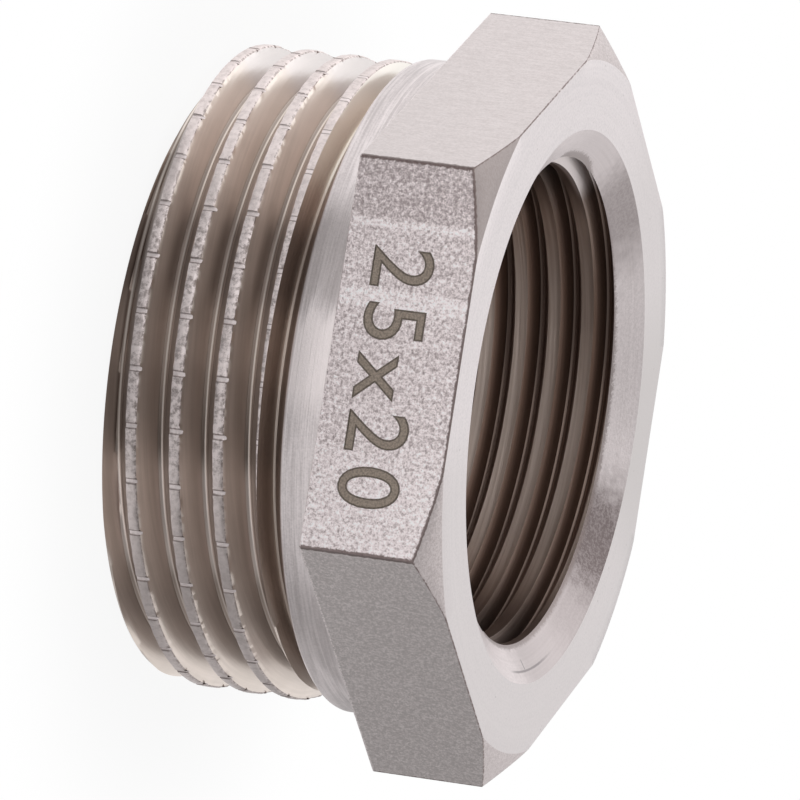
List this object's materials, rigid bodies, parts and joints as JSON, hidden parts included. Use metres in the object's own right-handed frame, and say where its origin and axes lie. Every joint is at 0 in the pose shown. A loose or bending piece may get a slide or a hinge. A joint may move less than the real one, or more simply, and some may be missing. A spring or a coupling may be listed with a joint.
{
  "type": "hex bushing",
  "caption": "Hexagon head reducing bushing with a male pipe thread, a relief groove, a plain collar and a female pipe thread through its bore.",
  "frame": {"origin": "centre of the male thread's end face, on the surface that the part stands on", "axes": "+Z along the thread axis towards the hexagon's front face and the mouth of the female thread; -Y is the normal of the marked flat; +X runs through a corner of the hexagon"},
  "size_m": [0.0392, 0.034, 0.0186],
  "materials": {
    "plated_metal": "satin"
  },
  "bodies": {
    "root": {"hex_bushing": "plated_metal"}
  },
  "joints": []
}
